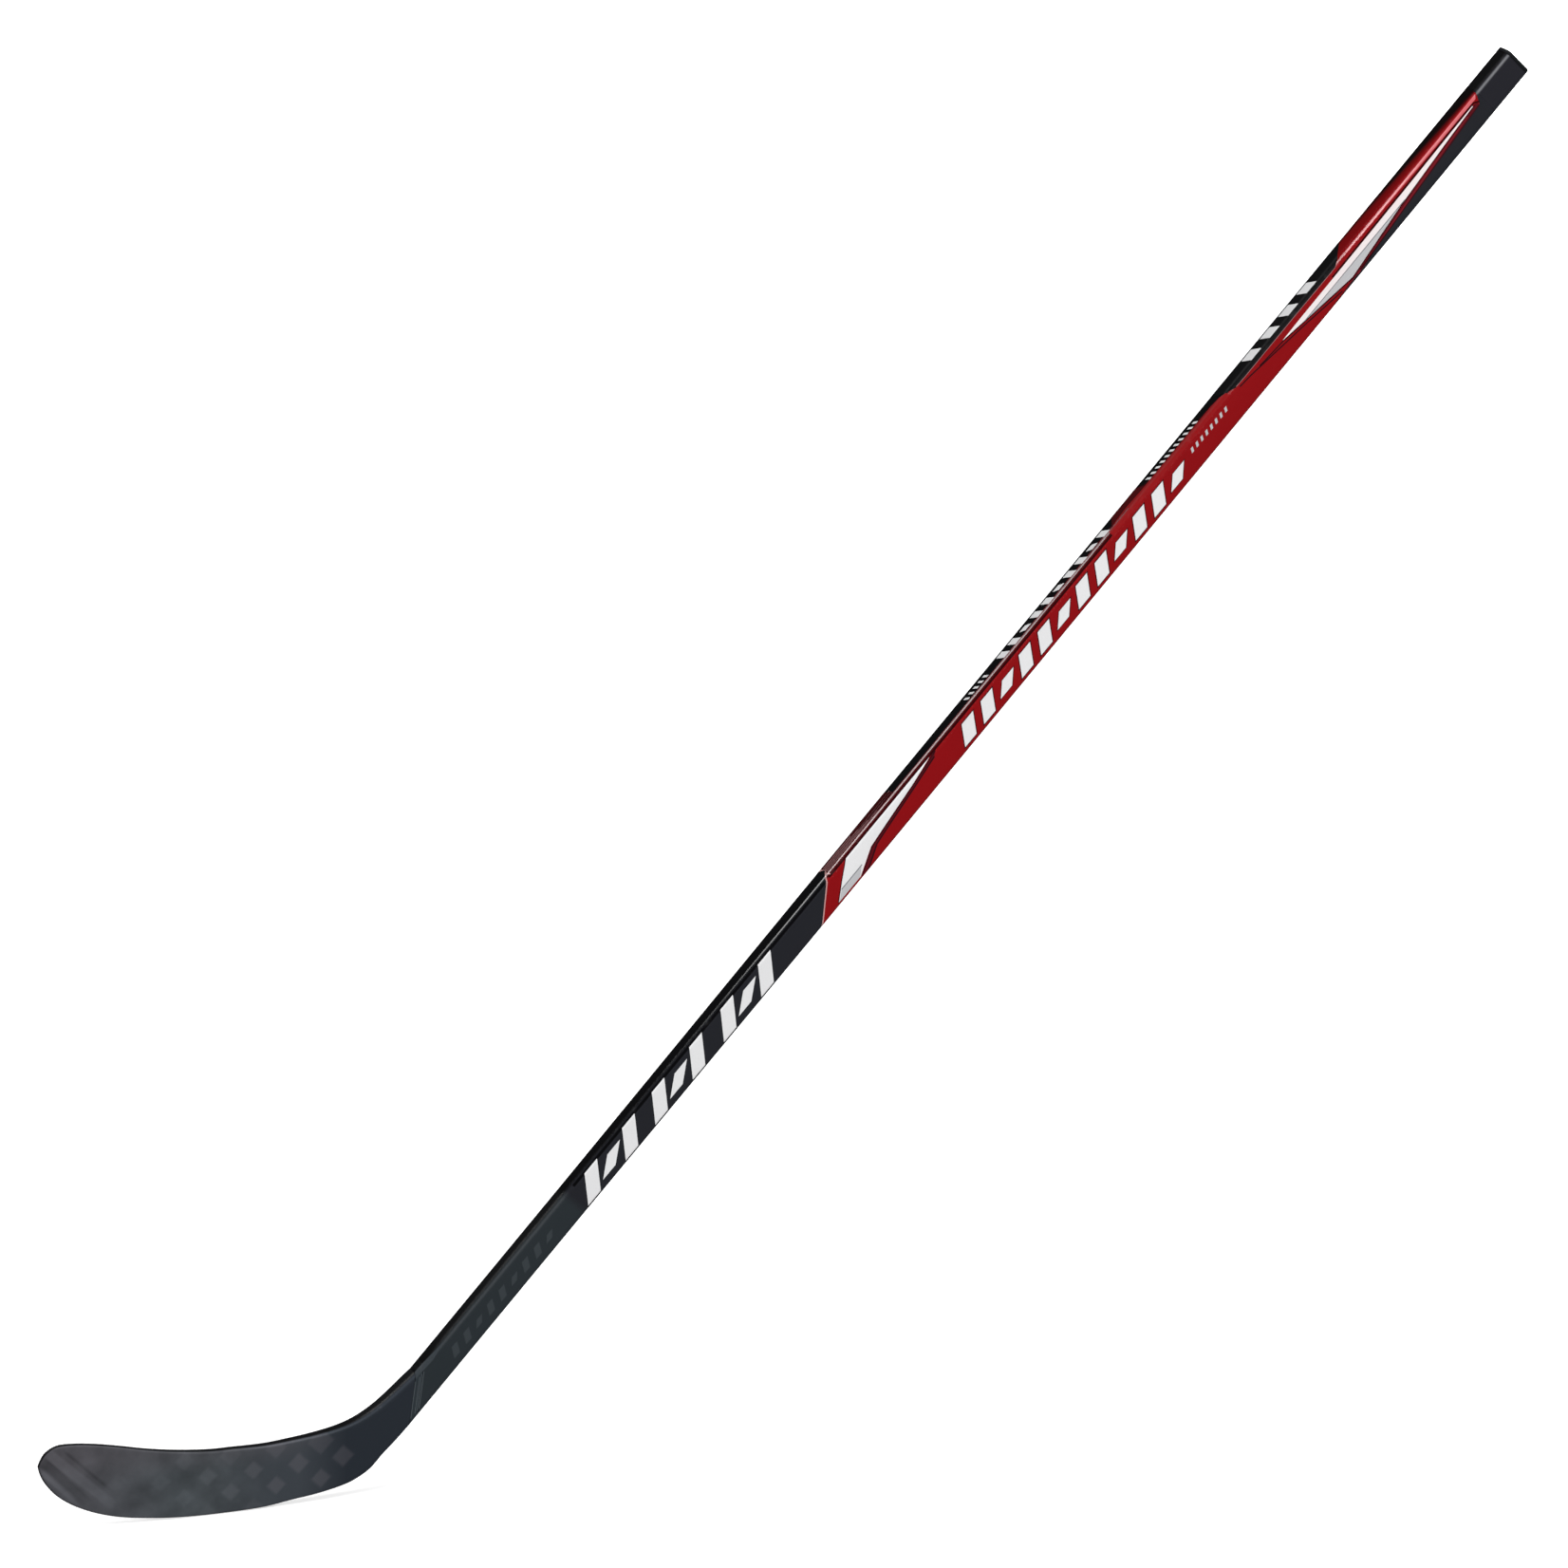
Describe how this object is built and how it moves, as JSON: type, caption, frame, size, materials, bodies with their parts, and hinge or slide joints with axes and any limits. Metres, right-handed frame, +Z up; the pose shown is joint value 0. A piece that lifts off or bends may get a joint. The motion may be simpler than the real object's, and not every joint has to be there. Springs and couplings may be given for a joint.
{
  "type": "ice hockey stick",
  "caption": "Left-hand ice hockey stick: straight hollow rectangular shaft with a butt end plug, fused to a thin curved blade with a foam core, rib and rockered sole.",
  "frame": {"origin": "the point of the blade's sole that touches the ice", "axes": "+Z up from the ice, +X from the toe towards the shaft and butt, +Y towards the forehand side, which the blade curves to"},
  "size_m": [1.3095, 0.0377, 1.1246],
  "materials": {
    "shaft_finish": "clear-coated carbon composite, charcoal with red and white graphics",
    "plug": "matt black moulded plastic",
    "raw_composite": "bare moulded carbon composite",
    "damper": "soft grey foam",
    "wrap": "satin carbon composite",
    "blade_finish": "satin carbon composite with a faint weave of lozenges",
    "core_foam": "rigid cream foam"
  },
  "bodies": {
    "root": {"shaft_tube": "shaft_finish", "butt_end_plug": "plug", "blade_tenon": "raw_composite", "damper_foam": "damper", "joint_overwrap": "wrap", "blade_forehand_skin": "blade_finish", "blade_backhand_skin": "blade_finish", "blade_core_lower": "core_foam", "blade_core_upper": "core_foam", "blade_core_rib": "raw_composite"}
  },
  "joints": []
}
